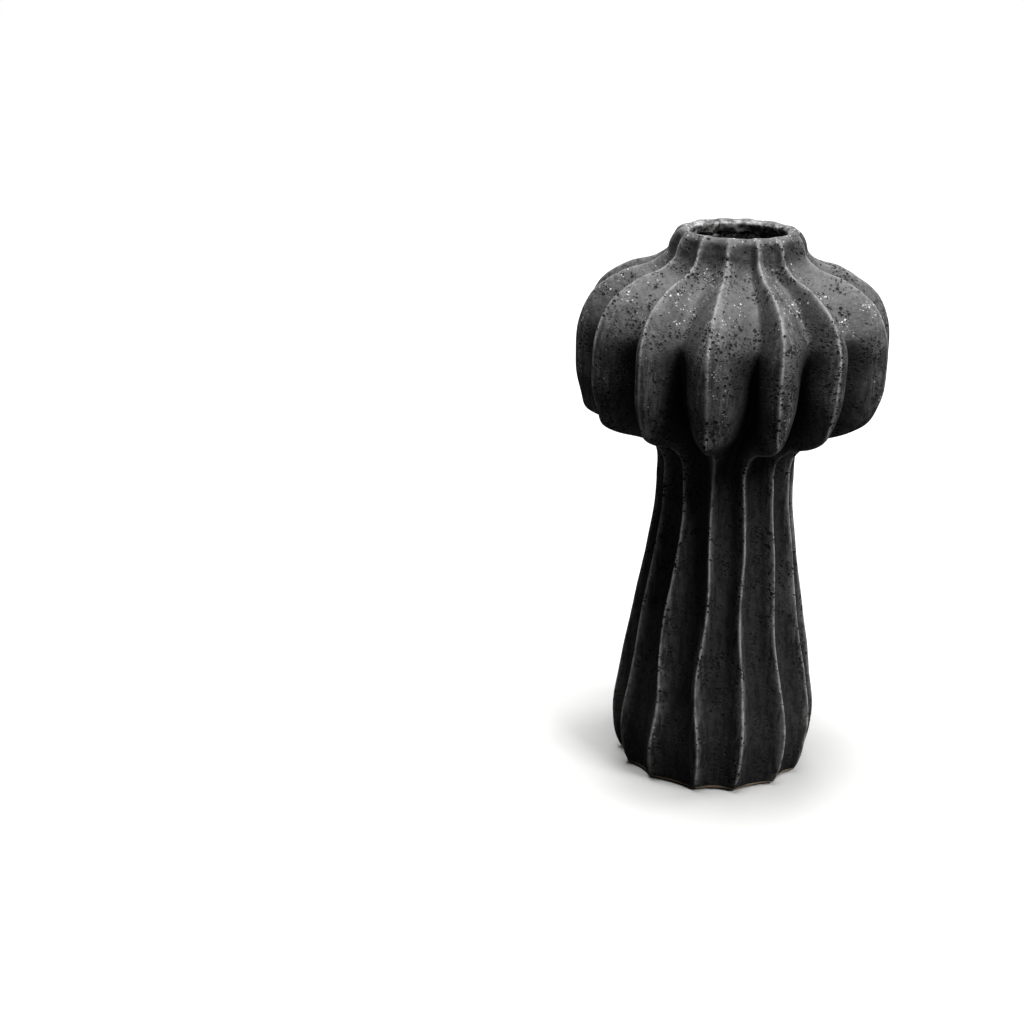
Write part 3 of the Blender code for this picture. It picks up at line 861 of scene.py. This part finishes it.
stem = wall_section(
    "stem_wall_visual", FOOT_JOINT, NECK_JOINT, glaze, rows=190, inner_rows=40
)
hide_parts("stem_wall")


# ---------------------------------------------------------------------------
# Head bowl
# The lower half of the pleated head, in the same glazed stoneware. Deep folds run
# in between the ribs, and the nearly flat underside turns in to the throat, where
# it is luted to the stem.
# ---------------------------------------------------------------------------

bowl = wall_section(
    "head_bowl_visual", NECK_JOINT, HEAD_JOINT, glaze, rows=110, inner_rows=40
)
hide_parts("head_bowl")


# ---------------------------------------------------------------------------
# Head dome
# The upper half of the head, in glazed stoneware. The folds open out into broad
# soft valleys on the shoulder, and the dome is luted to the bowl at the widest
# line, where the joint is smoothed over.
# ---------------------------------------------------------------------------

dome = wall_section(
    "head_dome_visual", HEAD_JOINT, COLLAR_JOINT, glaze, rows=96, inner_rows=40
)
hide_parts("head_dome")


# ---------------------------------------------------------------------------
# Collar
# A short fluted neck of the same clay that stands on the shoulder. It is luted on
# while the clay is soft, and the joint is wiped smooth and glazed over.
# ---------------------------------------------------------------------------

collar = wall_section(
    "collar_neck_visual", COLLAR_JOINT, LIP_JOINT, glaze, rows=30, inner_rows=16
)
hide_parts("collar_neck")


# ---------------------------------------------------------------------------
# Lip coil
# A round coil of clay laid on the collar and pinched to a soft, slightly uneven
# lip. The flutes die out over it.
# ---------------------------------------------------------------------------

LIP_ROWS = 44
SEAT_DEPTH = 0.001
LINING_FADE = 0.8
LIP_CREST_SHEEN = 0.4
lip_levels = np.linspace(LIP_JOINT, LIP_END, LIP_ROWS)
lip_points, lip_crest, lip_fold = wall_points(lip_levels, 0.0)
lip_points = hand_marks(lip_points)
seat = wall_points(np.array([LIP_JOINT]), 1.0)[0]
seat[0, :, 2] = lip_points[0, :, 2] - SEAT_DEPTH
lip_all = np.concatenate((lip_points, seat))
count = lip_all.shape[1]
lip_faces = looped_rows(len(lip_all), count)
lip = finish_mesh("lip_coil_visual", lip_all.reshape(-1, 3).tolist(), lip_faces, glaze)
mark_joint_edges(lip, count, (0, LIP_ROWS - 1, LIP_ROWS))
lip_inside = np.clip((lip_levels - LEVEL["lip_crest"]) / LINING_FADE, 0.0, 1.0)
# The lip's crest line, a painted highlight, is weaker and fades out inside the lip.
paint_mask(lip, "crest", np.append(lip_crest * (1 - lip_inside)[:, None] * LIP_CREST_SHEEN, np.zeros(count)))
paint_mask(lip, "fold", np.append(lip_fold, np.full(count, PLAIN_FOLD)))
paint_mask(lip, "inside", np.append(np.repeat(lip_inside, count), np.ones(count)))
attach(lip, "root")
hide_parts("lip_coil")


# ---------------------------------------------------------------------------
# Seam coils
# Soft coils of clay, pressed into the inside of each joint with a finger. They
# keep their own shape from the frame, under a thin dark wash of glaze.
# ---------------------------------------------------------------------------

WASH_DARK = (0.03, 0.028, 0.027, 1.0)
WASH_THIN = (0.085, 0.075, 0.066, 1.0)
FINGER_RELIEF = 0.0008

luting, tree, shader = new_material("luting_clay_wash")
coords = add_node(tree, "ShaderNodeTexCoord")
smears = add_node(tree, "ShaderNodeTexNoise", Scale=130.0, Detail=4.0, Roughness=0.6, Distortion=0.6)
grit = add_node(tree, "ShaderNodeTexNoise", Scale=1000.0, Detail=2.0)
for node in (smears, grit):
    link(tree, (coords.outputs["Object"], node.inputs["Vector"]))
smear_tone = mix_colour(tree, remap(tree, smears.outputs["Fac"], 0.35, 0.65), WASH_DARK, WASH_THIN)
smear_rough = remap(tree, grit.outputs["Fac"], 0.3, 0.7, to_low=0.72, to_high=0.92)
grit_height = math_node(tree, "MULTIPLY", grit.outputs["Fac"], 0.2)
smear_height = math_node(tree, "ADD", smears.outputs["Fac"], grit_height)
relief = add_node(tree, "ShaderNodeBump", Strength=0.8, Distance=FINGER_RELIEF)
link(
    tree,
    (smear_tone, shader.inputs["Base Color"]),
    (smear_rough, shader.inputs["Roughness"]),
    (smear_height, relief.inputs["Height"]),
    (relief.outputs["Normal"], shader.inputs["Normal"]),
)
for coil_name in ("base_seam_coil", "neck_seam_coil", "head_seam_coil"):
    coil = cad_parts[coil_name]
    coil.data.materials.clear()
    coil.data.materials.append(luting)


# ---------------------------------------------------------------------------
# Floor, light and camera
# A plain white studio floor that runs out of sight, one broad soft light straight
# above, two weaker ones on the right, a weak one from behind, and a camera in
# front that looks down at the vase.
# ---------------------------------------------------------------------------

PAPER_DULL = (0.595, 0.593, 0.587, 1.0)
PAPER_BRIGHT = (0.61, 0.608, 0.603, 1.0)
DIM_GREY = (0.03, 0.03, 0.03, 1.0)

floor_material, tree, shader = new_material("white_studio_floor")
coords = add_node(tree, "ShaderNodeTexCoord")
paper = add_node(tree, "ShaderNodeTexNoise", Scale=6.0, Detail=3.0)
link(tree, (coords.outputs["Object"], paper.inputs["Vector"]))
white = mix_colour(tree, paper.outputs["Fac"], PAPER_DULL, PAPER_BRIGHT)
link(tree, (white, shader.inputs["Base Color"]))
shader.inputs["Roughness"].default_value = 0.9
shader.inputs["Specular IOR Level"].default_value = 0.1

# The floor is white where it is looked at, and throws next to no light back up at
# the vase, as it would with black flags laid round the foot.
dim_floor = add_node(tree, "ShaderNodeBsdfDiffuse", Color=DIM_GREY)
seen = add_node(tree, "ShaderNodeLightPath")
floor_mix = add_node(tree, "ShaderNodeMixShader")
output = tree.nodes["Material Output"]
link(
    tree,
    (seen.outputs["Is Camera Ray"], floor_mix.inputs["Fac"]),
    (dim_floor.outputs["BSDF"], floor_mix.inputs[1]),
    (shader.outputs["BSDF"], floor_mix.inputs[2]),
    (floor_mix.outputs["Shader"], output.inputs["Surface"]),
)
FLOOR_HALF = 6.0
floor_corners = [
    (-FLOOR_HALF, -FLOOR_HALF, 0.0),
    (FLOOR_HALF, -FLOOR_HALF, 0.0),
    (FLOOR_HALF, FLOOR_HALF, 0.0),
    (-FLOOR_HALF, FLOOR_HALF, 0.0),
]
floor = finish_mesh("studio_floor", floor_corners, [(0, 1, 2, 3)], floor_material)


LAMP_DISTANCE = 2.0


def soft_sun(name, azimuth, elevation, spread, strength):
    """Hang one large soft light far away, at angles in degrees from the front and the floor."""
    data = bpy.data.lights.new(name, "SUN")
    data.energy = strength
    data.angle = math.radians(spread)
    turn, rise = math.radians(azimuth), math.radians(elevation)
    towards = Vector((math.cos(rise) * math.sin(turn), -math.cos(rise) * math.cos(turn), math.sin(rise)))
    lamp = bpy.data.objects.new(name, data)
    lamp.location = towards * LAMP_DISTANCE
    lamp.rotation_euler = towards.to_track_quat("Z", "Y").to_euler()
    bpy.context.scene.collection.objects.link(lamp)


soft_sun("overhead_softbox", azimuth=-90.0, elevation=88.0, spread=26.0, strength=4.6)
soft_sun("right_softbox", azimuth=56.0, elevation=46.0, spread=24.0, strength=2.0)
soft_sun("right_rim", azimuth=112.0, elevation=34.0, spread=24.0, strength=1.0)
soft_sun("back_fill", azimuth=184.0, elevation=32.0, spread=30.0, strength=0.9)

# The room is white behind the vase, and lends the vase only a faint even light.
ROOM_WHITE = (1.0, 1.0, 1.0, 1.0)
ROOM_GLOW = 0.03
world = bpy.data.worlds.new("white_room")
world.use_nodes = True
bpy.context.scene.world = world
tree = world.node_tree
backdrop = tree.nodes["Background"]
backdrop.inputs["Color"].default_value = ROOM_WHITE
backdrop.inputs["Strength"].default_value = 1.0
room = add_node(tree, "ShaderNodeBackground", Color=ROOM_WHITE, Strength=ROOM_GLOW)
seen = add_node(tree, "ShaderNodeLightPath")
world_mix = add_node(tree, "ShaderNodeMixShader")
link(
    tree,
    (seen.outputs["Is Camera Ray"], world_mix.inputs["Fac"]),
    (room.outputs["Background"], world_mix.inputs[1]),
    (backdrop.outputs["Background"], world_mix.inputs[2]),
    (world_mix.outputs["Shader"], tree.nodes["World Output"].inputs["Surface"]),
)
bpy.context.scene.view_settings.view_transform = "Standard"

CAMERA_DISTANCE = 3.0 * HEIGHT
CAMERA_HEIGHT = 1.5536 * HEIGHT
CAMERA_LENS = 61.17
CAMERA_FILM = 36.0
CAMERA_NEAREST = 0.05
CAMERA_TURN = 7.335
CAMERA_DOWN = 19.9
CAMERA_ROLL = 0.688
UPRIGHT = 90.0
lens = bpy.data.cameras.new("camera")
lens.lens = CAMERA_LENS
lens.sensor_width = CAMERA_FILM
lens.clip_start = CAMERA_NEAREST
camera = bpy.data.objects.new("camera", lens)
camera.location = (0.0, -CAMERA_DISTANCE, CAMERA_HEIGHT)
turn = Matrix.Rotation(math.radians(CAMERA_TURN), 3, "Z")
tilt = Matrix.Rotation(math.radians(UPRIGHT - CAMERA_DOWN), 3, "X")
roll = Matrix.Rotation(math.radians(CAMERA_ROLL), 3, "Z")
camera.rotation_euler = (turn @ tilt @ roll).to_euler()
bpy.context.scene.collection.objects.link(camera)
bpy.context.scene.camera = camera
